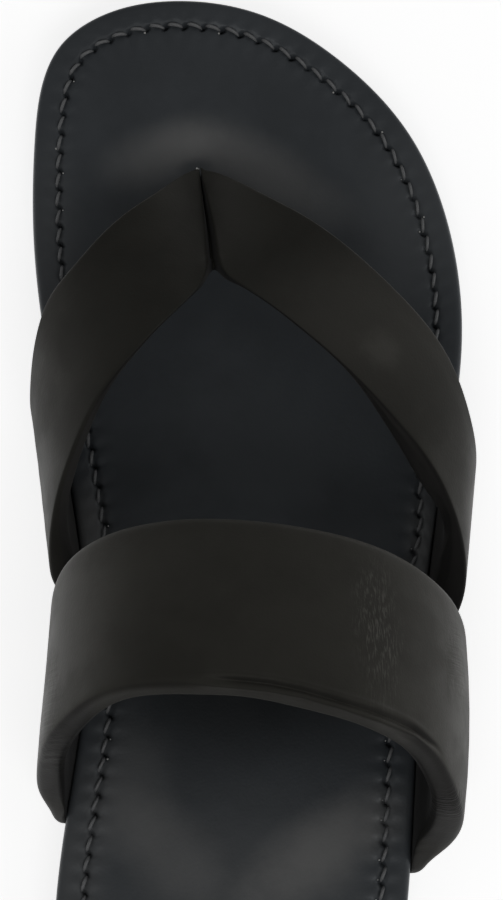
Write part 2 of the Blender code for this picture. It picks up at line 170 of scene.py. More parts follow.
# pebbled leather grain: a height for the bump and a slow drift of tone
grainMix = {
    "pebbles": {"Smoothness": 0.6, "Randomness": 0.95},
    "creaseCells": 0.42,
    "domes": 0.6,
    "creases": 0.7,
    "tone": (0.32, 0.68),
}


def makeGrainGroup():
    tree, inside, outside = newGroup(
        "leatherGrain", {"Cells": 1500.0, "Drift": 55.0}, ["Height", "Tone"]
    )
    place = objectPlace(tree)
    pebbles = addNode(tree, "ShaderNodeTexVoronoi", {"feature": "SMOOTH_F1"}, grainMix["pebbles"])
    creases = addNode(tree, "ShaderNodeTexNoise", None, {"Detail": 4.0, "Roughness": 0.62})
    drift = addNode(tree, "ShaderNodeTexNoise", None, {"Detail": 5.0, "Roughness": 0.6})
    for node in (pebbles, creases, drift):
        tree.links.new(place, node.inputs["Vector"])
    creaseCells = scaled(tree, inside.outputs["Cells"], grainMix["creaseCells"])
    tree.links.new(inside.outputs["Cells"], pebbles.inputs["Scale"])
    tree.links.new(creaseCells, creases.inputs["Scale"])
    tree.links.new(inside.outputs["Drift"], drift.inputs["Scale"])
    domes = mathNode(tree, "SUBTRACT", 1.0, pebbles.outputs["Distance"])
    domes = scaled(tree, domes, grainMix["domes"])
    folds = scaled(tree, creases.outputs["Fac"], grainMix["creases"])
    tree.links.new(mathNode(tree, "ADD", domes, folds), outside.inputs["Height"])
    tone = rangeNode(tree, drift.outputs["Fac"], *grainMix["tone"])
    tree.links.new(tone, outside.inputs["Tone"])
    return tree


def wearAndLightSpot(centre, reach, ragged, scale, turn=0.0):
    # one patch, for wear and for painted highlights and shade: place and reach in metres, how torn
    # its edge is, turn in radians
    return {"Centre": centre, "Reach": reach, "Turn": turn, "Ragged": ragged, "Ragged Scale": scale}


# soft ragged patch around a place, for wear and for painted highlights and shade
def makeWearAndLightGroup():
    tree, inside, outside = newGroup(
        "wearAndLightPatch", wearAndLightSpot((0.0, 0.0, 0.0), (0.01, 0.01, 0.01), 0.4, 150.0), ["Mask"]
    )
    place = objectPlace(tree)
    away = addNode(tree, "ShaderNodeVectorMath", {"operation": "SUBTRACT"})
    tree.links.new(place, away.inputs[0])
    tree.links.new(inside.outputs["Centre"], away.inputs[1])
    turned = addNode(tree, "ShaderNodeVectorRotate", {"rotation_type": "Z_AXIS"})
    tree.links.new(away.outputs[0], turned.inputs["Vector"])
    tree.links.new(inside.outputs["Turn"], turned.inputs["Angle"])
    share = addNode(tree, "ShaderNodeVectorMath", {"operation": "DIVIDE"})
    tree.links.new(turned.outputs[0], share.inputs[0])
    tree.links.new(inside.outputs["Reach"], share.inputs[1])
    far = addNode(tree, "ShaderNodeVectorMath", {"operation": "LENGTH"})
    tree.links.new(share.outputs[0], far.inputs[0])
    tear = addNode(tree, "ShaderNodeTexNoise", None, {"Detail": 5.0, "Roughness": 0.65})
    tree.links.new(place, tear.inputs["Vector"])
    tree.links.new(inside.outputs["Ragged Scale"], tear.inputs["Scale"])
    torn = mathNode(tree, "SUBTRACT", tear.outputs["Fac"], 0.5)
    offset = mathNode(tree, "MULTIPLY", torn, inside.outputs["Ragged"])
    total = mathNode(tree, "ADD", far.outputs["Value"], offset)
    fullUntil, goneAt = 0.15, 1.0   # shares of the reach
    tree.links.new(rangeNode(tree, total, fullUntil, goneAt, 1.0, 0.0), outside.inputs["Mask"])
    return tree


# fine lines drawn out in one direction
def makeStreakGroup():
    tree, inside, outside = newGroup(
        "fineStreaks", {"Stretch": (2000.0, 150.0, 900.0), "Threshold": 0.5}, ["Height", "Mask"]
    )
    pulled = addNode(tree, "ShaderNodeVectorMath", {"operation": "MULTIPLY"})
    tree.links.new(objectPlace(tree), pulled.inputs[0])
    tree.links.new(inside.outputs["Stretch"], pulled.inputs[1])
    lines = addNode(
        tree, "ShaderNodeTexNoise", None, {"Scale": 1.0, "Detail": 3.0, "Roughness": 0.55}
    )
    tree.links.new(pulled.outputs[0], lines.inputs["Vector"])
    tree.links.new(lines.outputs["Fac"], outside.inputs["Height"])
    over = mathNode(tree, "SUBTRACT", lines.outputs["Fac"], inside.outputs["Threshold"])
    softness = 0.16
    tree.links.new(rangeNode(tree, over, 0.0, softness), outside.inputs["Mask"])
    return tree


# sparse pale specks of dust
def makeDustGroup():
    tree, inside, outside = newGroup("dustSpecks", {"Cells": 90.0, "Rarity": 0.9}, ["Mask"])
    cells = addNode(tree, "ShaderNodeTexVoronoi", {"feature": "F1"}, {"Randomness": 1.0})
    tree.links.new(objectPlace(tree), cells.inputs["Vector"])
    tree.links.new(inside.outputs["Cells"], cells.inputs["Scale"])
    split = addNode(tree, "ShaderNodeSeparateColor")
    tree.links.new(cells.outputs["Color"], split.inputs[0])
    chosen = mathNode(tree, "GREATER_THAN", split.outputs[0], inside.outputs["Rarity"])
    speckSize, speckFade = 0.012, 0.032   # shares of a cell
    near = rangeNode(tree, cells.outputs["Distance"], speckSize, speckFade, 1.0, 0.0)
    tree.links.new(mathNode(tree, "MULTIPLY", chosen, near), outside.inputs["Mask"])
    return tree


grainGroup = makeGrainGroup()
wearAndLightGroup = makeWearAndLightGroup()
streakGroup = makeStreakGroup()
dustGroup = makeDustGroup()
print("shader groups ready")


def newFinish(name):
    material = bpy.data.materials.new(name)
    material.use_nodes = True
    tree = material.node_tree
    return material, tree, tree.nodes["Principled BSDF"]


def placeGroup(tree, group, values):
    return addNode(tree, "ShaderNodeGroup", {"node_tree": group}, values)


def blendColour(tree, factor, first, second):
    node = addNode(tree, "ShaderNodeMix", {"data_type": "RGBA"})
    tree.links.new(factor, node.inputs["Factor"])
    for socket, colour in ((node.inputs[6], first), (node.inputs[7], second)):
        if isinstance(colour, tuple):
            socket.default_value = (*colour, 1.0)
        else:
            tree.links.new(colour, socket)
    return node.outputs[2]


def addBump(tree, shader, height, distance, strength):
    bump = addNode(tree, "ShaderNodeBump", None, {"Distance": distance, "Strength": strength})
    tree.links.new(height, bump.inputs["Height"])
    tree.links.new(bump.outputs["Normal"], shader.inputs["Normal"])


def addPatches(tree, patches, total=None):
    for strength, values in patches:
        patch = scaled(tree, placeGroup(tree, wearAndLightGroup, values).outputs["Mask"], strength)
        total = patch if total is None else mathNode(tree, "ADD", total, patch)
    return total


def addDust(tree, colour, look):
    cells, rarity = look["dustSpread"]
    dust = placeGroup(tree, dustGroup, {"Cells": cells, "Rarity": rarity})
    strength = scaled(tree, dust.outputs["Mask"], look["dustStrength"])
    return blendColour(tree, strength, colour, look["dust"])


def toneRoughness(tree, tone, look):
    low, high = look["roughness"]
    return rangeNode(tree, tone, 0.0, 1.0, high, low)


# finishes

strapLook = {
    "dark": (0.0378, 0.0368, 0.0320),
    "light": (0.0484, 0.0470, 0.0410),
    # tone of the rubbed patch and the scuff, also used for the painted highlight on the lateral arm
    "rubbed": (0.120, 0.116, 0.105),
    # painted shade on the band's inside faces
    "liningAndShade": (0.0150, 0.0145, 0.0140),
    # painted shade on the faces that look back, along the rear edges
    "turned": (0.0105, 0.0102, 0.0098),
    "gloss": 0.095,
    "glossTint": (1.0, 0.965, 0.895),
    "sheen": 0.06,
    "sheenRoughness": 0.30,
    "roughness": (0.43, 0.54),
    "dust": (0.45, 0.44, 0.42),
    "dustSpread": (70.0, 0.93),
    "dustStrength": 0.5,
    "grainCells": 1900.0,
    "grainDepth": 0.00006,
    "drift": 45.0,
    "bump": 0.5,
    "rub": wearAndLightSpot((0.0262, -0.0215, 0.066), (0.0068, 0.0225, 0.02), 0.9, 220.0, turn=-0.03),
    "rubLines": (3000.0, 240.0, 1100.0),
    "rubThreshold": 0.48,
    "rubStrength": 0.62,
    "lineDepth": (0.22, 1.2),   # all over, and more where rubbed
    "hairlines": [   # stretch of the wrinkles, then their patch
        ((120.0, 1100.0, 60.0), wearAndLightSpot((0.044, -0.027, 0.041), (0.006, 0.012, 0.012), 0.8, 90.0)),
        ((120.0, 300.0, 1100.0), wearAndLightSpot((0.043, -0.056, 0.038), (0.008, 0.006, 0.012), 0.8, 90.0)),
        ((120.0, 1100.0, 60.0), wearAndLightSpot((-0.043, -0.038, 0.043), (0.008, 0.016, 0.02), 0.8, 90.0)),
    ],
    "hairlineDepth": 14.0,
    "wearAndPaintedHighlight": [   # strength, then the patch: a broad painted highlight on the lateral arm, then a small scuff
        (0.30, wearAndLightSpot((0.025, 0.0465, 0.046), (0.033, 0.028, 0.025), 0.4, 60.0)),
        (0.24, wearAndLightSpot((0.0282, 0.0415, 0.0465), (0.0064, 0.0064, 0.0075), 0.9, 220.0)),
    ],
}

thongLook = {   # what differs on the thong
    "dark": (0.0275, 0.0270, 0.0236),
    "light": (0.0355, 0.0348, 0.0304),
    # the thong's inside faces, lighter than its outside
    "liningAndShade": (0.0440, 0.0425, 0.0410),
    # painted shade along the thong's rear edges
    "turned": (0.0160, 0.0155, 0.0150),
}


def makeStrapFinish(name, look):
    material, tree, shader = newFinish(name)
    grain = placeGroup(tree, grainGroup, {"Cells": look["grainCells"], "Drift": look["drift"]})
    rub = placeGroup(tree, wearAndLightGroup, look["rub"])
    streaks = placeGroup(
        tree, streakGroup, {"Stretch": look["rubLines"], "Threshold": look["rubThreshold"]}
    )
    colour = blendColour(tree, grain.outputs["Tone"], look["dark"], look["light"])
    rubbed = mathNode(tree, "MULTIPLY", rub.outputs["Mask"], streaks.outputs["Mask"])
    # rubbed streaks and a scuff as wear, with a broad painted highlight on the lateral arm
    wearAndPaintedHighlight = addPatches(tree, look["wearAndPaintedHighlight"], scaled(tree, rubbed, look["rubStrength"]))
    colour = blendColour(tree, wearAndPaintedHighlight, colour, look["rubbed"])
    for mark in ("liningAndShade", "turned"):   # masks of the inside tone and of the painted rear shade, written on the mesh
        marked = addNode(tree, "ShaderNodeAttribute", {"attribute_name": mark})
        colour = blendColour(tree, marked.outputs["Fac"], colour, look[mark])
    tree.links.new(addDust(tree, colour, look), shader.inputs["Base Color"])
    tree.links.new(toneRoughness(tree, grain.outputs["Tone"], look), shader.inputs["Roughness"])
    everywhere, more = look["lineDepth"]
    depth = mathNode(tree, "ADD", scaled(tree, rub.outputs["Mask"], more), everywhere)
    lines = mathNode(tree, "MULTIPLY", streaks.outputs["Height"], depth)
    for stretch, values in look["hairlines"]:
        wrinkles = placeGroup(tree, streakGroup, {"Stretch": stretch})
        patch = addPatches(tree, [(look["hairlineDepth"], values)])
        wrinkles = mathNode(tree, "MULTIPLY", wrinkles.outputs["Height"], patch)
        lines = mathNode(tree, "ADD", lines, wrinkles)
    height = mathNode(tree, "ADD", grain.outputs["Height"], lines)
    addBump(tree, shader, height, look["grainDepth"], look["bump"])
    shader.inputs["Specular IOR Level"].default_value = look["gloss"]
    shader.inputs["Specular Tint"].default_value = (*look["glossTint"], 1.0)
    shader.inputs["Sheen Weight"].default_value = look["sheen"]
    shader.inputs["Sheen Roughness"].default_value = look["sheenRoughness"]
    return material


footbedLook = {
    "dark": (0.0500, 0.0560, 0.0625),
    "light": (0.0680, 0.0755, 0.0835),
    # colour of the painted highlights on the footbed
    "highlightColour": (0.234, 0.233, 0.228),
    # colour of the painted shade under the instep band
    "deep": (0.0160, 0.0180, 0.0190),
    "gloss": 0.42,
    "glossTint": (0.95, 0.98, 1.0),
    "roughness": (0.36, 0.47),
    "highlightGloss": 0.08,   # how much smoother the places of painted highlight are
    "dust": (0.55, 0.55, 0.53),
    "dustSpread": (75.0, 0.93),
    "dustStrength": 0.5,
    "grainCells": 1500.0,
    "grainDepth": 0.00007,
    "drift": 38.0,
    "bump": 0.6,
    "paintedHighlight": [   # painted highlights at the toe post, the heel and the margins: strength, then the patch
        (0.48, wearAndLightSpot((-0.0215, 0.0945, 0.012), (0.019, 0.0098, 0.02), 0.35, 60.0, turn=-0.36)),
        (0.26, wearAndLightSpot((-0.0105, 0.097, 0.012), (0.017, 0.01, 0.02), 0.30, 60.0)),
        (0.46, wearAndLightSpot((0.005, 0.089, 0.012), (0.026, 0.0102, 0.02), 0.35, 60.0, turn=0.52)),
        (0.26, wearAndLightSpot((-0.028, -0.05, 0.0153), (0.013, 0.024, 0.02), 0.90, 42.0, turn=-0.15)),
        (0.34, wearAndLightSpot((-0.0185, -0.065, 0.0153), (0.023, 0.012, 0.02), 0.70, 48.0, turn=0.80)),
        (0.70, wearAndLightSpot((0.015, -0.0655, 0.0153), (0.027, 0.0125, 0.02), 0.75, 55.0, turn=-0.60)),
        (0.22, wearAndLightSpot((-0.038, -0.072, 0.0153), (0.009, 0.032, 0.02), 0.40, 60.0)),
        (0.20, wearAndLightSpot((0.0, -0.085, 0.0153), (0.042, 0.042, 0.02), 0.50, 40.0)),
        (0.12, wearAndLightSpot((-0.046, 0.07, 0.0125), (0.009, 0.042, 0.02), 0.40, 60.0)),
        (0.09, wearAndLightSpot((0.036, 0.078, 0.0125), (0.02, 0.034, 0.02), 0.40, 60.0)),
        (0.50, wearAndLightSpot((-0.037, 0.005, 0.013), (0.007, 0.02, 0.02), 0.40, 80.0)),
        (0.50, wearAndLightSpot((0.04, 0.003, 0.013), (0.007, 0.018, 0.02), 0.40, 80.0)),
    ],
    # painted shade on the footbed under the instep band: strength, then the patch
    "underBandShade": (0.90, wearAndLightSpot((0.0, -0.029, 0.015), (0.048, 0.024, 0.02), 0.30, 60.0)),
    # painted shadow at the thong's tip, where the painted highlight is taken out
    "tipShadow": (0.75, wearAndLightSpot((-0.0132, 0.0912, 0.012), (0.0058, 0.0034, 0.02), 0.35, 200.0, -0.25)),
}


def makeFootbedFinish(look):
    material, tree, shader = newFinish("footbedLeather")
    grain = placeGroup(tree, grainGroup, {"Cells": look["grainCells"], "Drift": look["drift"]})
    colour = blendColour(tree, grain.outputs["Tone"], look["dark"], look["light"])
    colour = blendColour(tree, addPatches(tree, [look["underBandShade"]]), colour, look["deep"])
    # the painted shadow at the thong's tip takes out the painted highlight
    outsideTipShadow = mathNode(tree, "SUBTRACT", 1.0, addPatches(tree, [look["tipShadow"]]))
    # painted highlights, taken out at the painted shadow by the thong's tip
    paintedHighlight = mathNode(tree, "MULTIPLY", addPatches(tree, look["paintedHighlight"]), outsideTipShadow)
    colour = blendColour(tree, paintedHighlight, colour, look["highlightColour"])
    tree.links.new(addDust(tree, colour, look), shader.inputs["Base Color"])
    rough = toneRoughness(tree, grain.outputs["Tone"], look)
    rough = mathNode(tree, "SUBTRACT", rough, scaled(tree, paintedHighlight, look["highlightGloss"]))
    tree.links.new(rough, shader.inputs["Roughness"])
    addBump(tree, shader, grain.outputs["Height"], look["grainDepth"], look["bump"])
    shader.inputs["Specular IOR Level"].default_value = look["gloss"]
    shader.inputs["Specular Tint"].default_value = (*look["glossTint"], 1.0)
    return material


threadLook = {
    "dark": (0.09, 0.094, 0.098),
    "light": (0.34, 0.345, 0.35),
    "roughness": (0.36, 0.60),
    "ply": (5200.0, 5200.0, 5200.0),
    "plyThreshold": 0.45,
    "plyDepth": 0.00012,
    "bump": 0.6,
    "gloss": 0.5,
}

paintedGlintLook = {   # what differs on the pale beads of painted glint
    "dark": (0.40, 0.40, 0.39),
    "light": (0.75, 0.75, 0.73),
    "roughness": (0.20, 0.35),
    "ply": (4000.0, 4000.0, 4000.0),
}


def makeThreadFinish(name, look):
    material, tree, shader = newFinish(name)
    ply = placeGroup(tree, streakGroup, {"Stretch": look["ply"], "Threshold": look["plyThreshold"]})
    colour = blendColour(tree, ply.outputs["Height"], look["dark"], look["light"])
    tree.links.new(colour, shader.inputs["Base Color"])
    tree.links.new(toneRoughness(tree, ply.outputs["Mask"], look), shader.inputs["Roughness"])
    addBump(tree, shader, ply.outputs["Height"], look["plyDepth"], look["bump"])
    shader.inputs["Specular IOR Level"].default_value = look["gloss"]
    return material


outsoleLook = {
    "dark": (0.0095, 0.0095, 0.0102),
    "light": (0.0165, 0.0165, 0.0172),
    "roughness": (0.50, 0.66),
    "grainCells": 2600.0,
    "grainDepth": 0.00007,
    "drift": 60.0,
    "scuffs": (160.0, 160.0, 1900.0),
    "scuffThreshold": 0.54,
    "toneShares": (0.7, 0.3),   # grain and scuffs
    "bump": 0.5,
    "gloss": 0.35,
}


def makeOutsoleFinish(look):
    material, tree, shader = newFinish("soleRubber")
    grain = placeGroup(tree, grainGroup, {"Cells": look["grainCells"], "Drift": look["drift"]})
    scuffs = placeGroup(
        tree, streakGroup, {"Stretch": look["scuffs"], "Threshold": look["scuffThreshold"]}
    )
    grainShare, scuffShare = look["toneShares"]
    tone = scaled(tree, grain.outputs["Tone"], grainShare)
    tone = mathNode(tree, "ADD", tone, scaled(tree, scuffs.outputs["Mask"], scuffShare))
    colour = blendColour(tree, tone, look["dark"], look["light"])
    tree.links.new(colour, shader.inputs["Base Color"])
    tree.links.new(toneRoughness(tree, tone, look), shader.inputs["Roughness"])
    height = mathNode(tree, "ADD", grain.outputs["Height"], scuffs.outputs["Height"])
    addBump(tree, shader, height, look["grainDepth"], look["bump"])
    shader.inputs["Specular IOR Level"].default_value = look["gloss"]
    return material


strapLeather = makeStrapFinish("strapLeather", strapLook)
thongLeather = makeStrapFinish("thongLeather", {**strapLook, **thongLook})
footbedLeather = makeFootbedFinish(footbedLook)
waxedThread = makeThreadFinish("waxedThread", threadLook)
paintedGlint = makeThreadFinish("paintedGlint", {**threadLook, **paintedGlintLook})
soleRubber = makeOutsoleFinish(outsoleLook)
print("finishes ready")


def dress(piece, material):
    piece.data.materials.clear()
    piece.data.materials.append(material)
    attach(piece, "root")


# the sole's outline and levels, in mm from the heel tip

sole = {
    "length": 261.0,
    "ballWidth": 98.8,
    "shift": (0.01, -130.5),
    "outline": [   # shares of the length and of the ball width
        (0.0, -0.086), (0.052, -0.361), (0.177, -0.441), (0.288, -0.412), (0.415, -0.374),
        (0.523, -0.398), (0.646, -0.457), (0.762, -0.504), (0.877, -0.509), (0.961, -0.449),
        (0.9905, -0.330), (1.0, -0.185), (0.988, 0.024), (0.949, 0.204), (0.877, 0.379),
        (0.805, 0.457), (0.688, 0.488), (0.537, 0.424), (0.408, 0.386), (0.277, 0.363),
        (0.177, 0.339), (0.052, 0.204),
    ],
    "samples": 6000,
    "slopeStep": 3,
    "heelSole": 10.0,
    "foreSole": 6.0,
    "pitch": (0.27, 0.60),
    "springStart": 0.80,
    "toeSpring": 5.0,
    "seatGap": 0.3,
    "footbedThickness": 5.0,
}
rowShift = np.array([*sole["shift"], 0.0])


def closedSpline(points, count):
    points = np.asarray(points, float)
    chords = np.linalg.norm(np.roll(points, -1, axis=0) - points, axis=1)
    total = len(points)
    system, known = np.zeros((total, total)), np.zeros((total, 2))
    for i in range(total):
        before, after = chords[i - 1], chords[i]
        system[i, i - 1] += before
        system[i, i] += 2 * (before + after)
        system[i, (i + 1) % total] += after
        rise = (points[(i + 1) % total] - points[i]) / after
        known[i] = 6 * (rise - (points[i] - points[i - 1]) / before)
    bends = np.linalg.solve(system, known)
    starts = np.concatenate([[0.0], np.cumsum(chords)])
    at = np.linspace(0.0, starts[-1], count, endpoint=False)
    here = np.clip(np.searchsorted(starts, at, side="right") - 1, 0, total - 1)
    there = (here + 1) % total
    h = chords[here][:, None]
    b = (at - starts[here])[:, None] / h
    a = 1 - b
    straight = a * points[here] + b * points[there]
    return straight + ((a**3 - a) * bends[here] + (b**3 - b) * bends[there]) * h * h / 6


def soleLoop():
    places = [
        (across * sole["ballWidth"], along * sole["length"]) for along, across in sole["outline"]
    ]
    loop = closedSpline(places, sole["samples"])
    loop = np.roll(loop, -int(np.argmin(loop[:, 1])), axis=0)
    low, high = loop[:, 1].min(), loop[:, 1].max()
    loop[:, 1] = (loop[:, 1] - low) * sole["length"] / (high - low)
    step = sole["slopeStep"]
    ahead = np.roll(loop, -step, axis=0) - np.roll(loop, step, axis=0)
    ahead /= np.linalg.norm(ahead, axis=1)[:, None]
    outward = np.stack([-ahead[:, 1], ahead[:, 0]], axis=1)
    return loop, outward


def loopStations(inset, count):
    # places on the outline whose inset points are evenly spaced, with the outward direction
    inner = outlineLoop - outlineOutward * inset
    steps = np.linalg.norm(np.roll(inner, -1, axis=0) - inner, axis=1)
    far = np.concatenate([[0.0], np.cumsum(steps)])
    at = np.arange(count) / count * far[-1]
    index = np.concatenate([np.arange(len(inner)), [len(inner)]])
    where = np.interp(at % far[-1], far, index)
    low = np.floor(where).astype(int) % len(inner)
    high = (low + 1) % len(inner)
    mix = (where - np.floor(where))[:, None]
    places = outlineLoop[low] * (1 - mix) + outlineLoop[high] * mix
    outward = outlineOutward[low] * (1 - mix) + outlineOutward[high] * mix
    return places, outward / np.linalg.norm(outward, axis=1)[:, None], far[-1]


def footbedBottom(y):
    share = y / sole["length"]
    fall = ramp(share, *sole["pitch"])
    rise = np.clip((share - sole["springStart"]) / (1 - sole["springStart"]), 0.0, 1.0)
    level = sole["heelSole"] + (sole["foreSole"] - sole["heelSole"]) * fall
    return level + sole["toeSpring"] * rise**2 + sole["seatGap"]


def footbedTop(y):
    return footbedBottom(y) + sole["footbedThickness"]


def toRow(places):
    # from mm at the heel tip to metres in the shared frame
    return (np.asarray(places, float) + rowShift) * mm


outlineLoop, outlineOutward = soleLoop()


# footbed: a rim drawn up loop by loop from the sole's outline, then a grid over the middle

footbed = {
    "stitches": 133,
    "stationsPerStitch": 10,
    "seamInset": 6.0,
    "rim": [   # inset from the edge, drop below the top
        (0.0, 5.0), (0.0, 3.2), (0.0, 1.7), (0.12, 0.95), (0.45, 0.40), (1.0, 0.10), (1.8, 0.0),
        (3.2, -0.04), (4.2, -0.02), (4.7, 0.03), (5.05, 0.10), (5.35, 0.21), (5.65, 0.30),
        (5.9, 0.34), (6.15, 0.34), (6.4, 0.30), (6.65, 0.21), (6.9, 0.11), (7.2, 0.03),
        (7.6, -0.03), (8.3, -0.06), (9.6, -0.03), (12.0, 0.0),
    ],
    "slitDepth": 1.8,
    "slitVaries": (0.7, 0.6),   # least share of the depth, and what chance adds
    "slitReach": (0.95, 0.40),
    "slitAside": 0.30,
    "lips": [   # raised leather at the slit's ends: place, reach, height
        (1.35, 0.45, 0.36),
        (-1.35, 0.55, 0.26),
    ],
    "lipVaries": 1.4,
    "pucker": 0.16,
    "puckerInsets": (3.0, 11.0),
    "puckerEdge": (2.0, 0.9),   # distance from the seam, reach
    "waist": (135.5, 12.0, 2.6),   # where the seam nears the lateral edge, its reach, how far
    "waistInsets": (4.2, 8.3),
    "coarse": 5,
    "coarseInset": 14.5,
    "acrossSpan": 33,
    "postDimple": (-11.7, 211.0, 24.0, 13.0, 0.9),   # place, reach across and along, depth
    "dimpleInset": 7.0,   # from here inwards the dimple has its full depth
    "startRadius": 0.05,   # of the circles that are drawn into shape, in metres
    "sharpAngle": 50,
}


def bedRelief(x, y):
    px, py, reachX, reachY, depth = footbed["postDimple"]
    return -depth * np.exp(-(((x - px) / reachX) ** 2) - ((y - py) / reachY) ** 2)


def insetPlaces(base, outward, inset):
    # places inside the outline; at the lateral waist the seam runs closer to the edge
    at, reach, amount = footbed["waist"]
    near, far = footbed["waistInsets"]
    share = np.interp(inset, [0.0, near, far, footbed["coarseInset"]], [0.0, 1.0, 1.0, 0.0])
    drift = amount * share * np.exp(-(((base[:, 1] - at) / reach) ** 2)) * (base[:, 0] > 0)
    return base - outward * (inset - drift)[:, None]


def rimPlaces(row, base, outward, spacing):
    inset, drop = footbed["rim"][row]
    flat = insetPlaces(base, outward, inset)
    z = footbedTop(flat[:, 1]) - drop
    if inset > 0:
        z = z + bedRelief(flat[:, 0], flat[:, 1]) * smoothStep(inset / footbed["dimpleInset"])
    per = footbed["stationsPerStitch"]
    stations = np.arange(len(base)) + per // 2
    turn = stations % per - per // 2
    number = (stations // per) % footbed["stitches"]
    along = turn * spacing
    across = inset - footbed["seamInset"]
    aside = across - footbed["slitAside"]
    down, side = (aside - along) / math.sqrt(2), (aside + along) / math.sqrt(2)
    longReach, shortReach = footbed["slitReach"]
    least, more = footbed["slitVaries"]
    slit = np.exp(-((down / longReach) ** 2) - (side / shortReach) ** 2)
    z = z - footbed["slitDepth"] * (least + more * scatter(number, 5)) * slit
    for salt, (lipPlace, lipReach, lipHeight) in enumerate(footbed["lips"]):
        lip = np.exp(-(((down - lipPlace) / lipReach) ** 2) - (side / lipReach) ** 2)
        z = z + lipHeight * footbed["lipVaries"] * scatter(number, 6 + salt) * lip
    near, far = footbed["puckerInsets"]
    if near < inset < far:
        place, reach = footbed["puckerEdge"]
        edge = np.exp(-(((abs(across) - place) / reach) ** 2))
        z = z - footbed["pucker"] * edge * np.cos(2 * math.pi * turn / per)
    return toRow(np.column_stack([flat, z]))


def onBed(flat):
    # places in the middle of the footbed, at the level of its top
    level = footbedTop(flat[:, 1]) + bedRelief(flat[:, 0], flat[:, 1])
    return toRow(np.column_stack([flat, level]))


def selectVerts(piece, numbers):
    shape = bmesh.from_edit_mesh(piece.data)
    shape.verts.ensure_lookup_table()
    for number in numbers:
        shape.verts[number].select = True
    shape.select_flush(True)
    bmesh.update_edit_mesh(piece.data)


def makeFootbed():
    count = footbed["stitches"] * footbed["stationsPerStitch"]
    base, outward, seamLength = loopStations(footbed["seamInset"], count)
    spacing = seamLength / count
    deselectAll()
    start = footbed["startRadius"]
    bpy.ops.mesh.primitive_circle_add(vertices=count, radius=start, fill_type="NOTHING")
    piece = bpy.context.object
    piece.name = "footbed_leather"
    station = piece.data.attributes.new("station", "INT", "POINT")
    station.data.foreach_set("value", np.arange(count, dtype=np.int32))
    writePlaces(piece, rimPlaces(0, base, outward, spacing))
    startEdit(piece, first="SELECT")
    for row in range(1, len(footbed["rim"])):
        bpy.ops.mesh.extrude_edges_move()
        places = rimPlaces(row, base, outward, spacing)
        shape = bmesh.from_edit_mesh(piece.data)
        layer = shape.verts.layers.int["station"]
        for vert in shape.verts:
            if vert.select:
                vert.co = places[vert[layer]]
        bmesh.update_edit_mesh(piece.data)
    rimCount = len(bmesh.from_edit_mesh(piece.data).verts)
    rimLoop = [vert.index for vert in bmesh.from_edit_mesh(piece.data).verts if vert.select]
    # a coarser loop inside the rim, bridged to it and filled with a grid
    every = footbed["coarse"]
    bpy.ops.mesh.select_all(action="DESELECT")
    bpy.ops.mesh.primitive_circle_add(vertices=count // every, radius=start, fill_type="NOTHING")
    shape = bmesh.from_edit_mesh(piece.data)
    shape.verts.ensure_lookup_table()
    inner = onBed(base[::every] - outward[::every] * footbed["coarseInset"])
    innerLoop = range(rimCount, rimCount + len(inner))
    for number, place in zip(innerLoop, inner):
        shape.verts[number].co = place
    selectVerts(piece, rimLoop)
    bpy.ops.mesh.bridge_edge_loops()
    bpy.ops.mesh.select_all(action="DESELECT")
    selectVerts(piece, innerLoop)
    bpy.ops.mesh.fill_grid(span=footbed["acrossSpan"], offset=-footbed["acrossSpan"] // 2)
    endEdit()
    places = readPlaces(piece)
    middle = places[rimCount:] / mm - rowShift
    places[rimCount:] = onBed(middle[:, :2])
    writePlaces(piece, places)
    startEdit(piece, "EDGE")
    bpy.ops.mesh.select_non_manifold(extend=False)
    bpy.ops.mesh.edge_face_add()   # closes the underside
    bpy.ops.mesh.select_all(action="SELECT")
    bpy.ops.mesh.normals_make_consistent(inside=False)
    endEdit()
    smoothShading(piece, footbed["sharpAngle"])
    dress(piece, footbedLeather)
    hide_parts("footbed")
    return piece


footbedPiece = makeFootbed()
print("footbed:", countTriangles(footbedPiece), "triangles")


# straps: the CAD solids rounded to padded leather, then creased

mergeReach = 0.00002   # in metres


def copyNode(node, name):
    deselectAll()
    piece = bpy.data.objects.new(name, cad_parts[node].data.copy())
    scene.collection.objects.link(piece)
    activate(piece)
    bpy.ops.mesh.customdata_custom_splitnormals_clear()
    startEdit(piece, first="SELECT")
    bpy.ops.mesh.remove_doubles(threshold=mergeReach)
    endEdit()
    return piece


def recoverQuads(piece):
    startEdit(piece, "FACE", "SELECT")
    flatness, squareness = (math.radians(angle) for angle in strapShape["quadAngles"])
    bpy.ops.mesh.tris_convert_to_quads(face_threshold=flatness, shape_threshold=squareness)
    endEdit()
    triangles = sum(1 for face in piece.data.polygons if len(face.vertices) == 3)
    print(piece.name, "has", len(piece.data.polygons), "faces,", triangles, "of them triangles")


def cutLongEdges(piece, longest, cuts):
    startEdit(piece, "EDGE")
    shape = bmesh.from_edit_mesh(piece.data)
    for edge in shape.edges:
        edge.select = edge.calc_length() > longest
    bmesh.update_edit_mesh(piece.data)
    bpy.ops.mesh.subdivide(number_cuts=cuts, smoothness=0.0)
    endEdit()


strapShape = {
    "quadAngles": (50, 80),
    "longEdge": 0.0055,   # in metres
    "cuts": 3,
    "levels": 2,
    "refineReach": 3.6,   # in mm
    "creaseFade": 0.15,   # share of a crease over which its ends run out
}

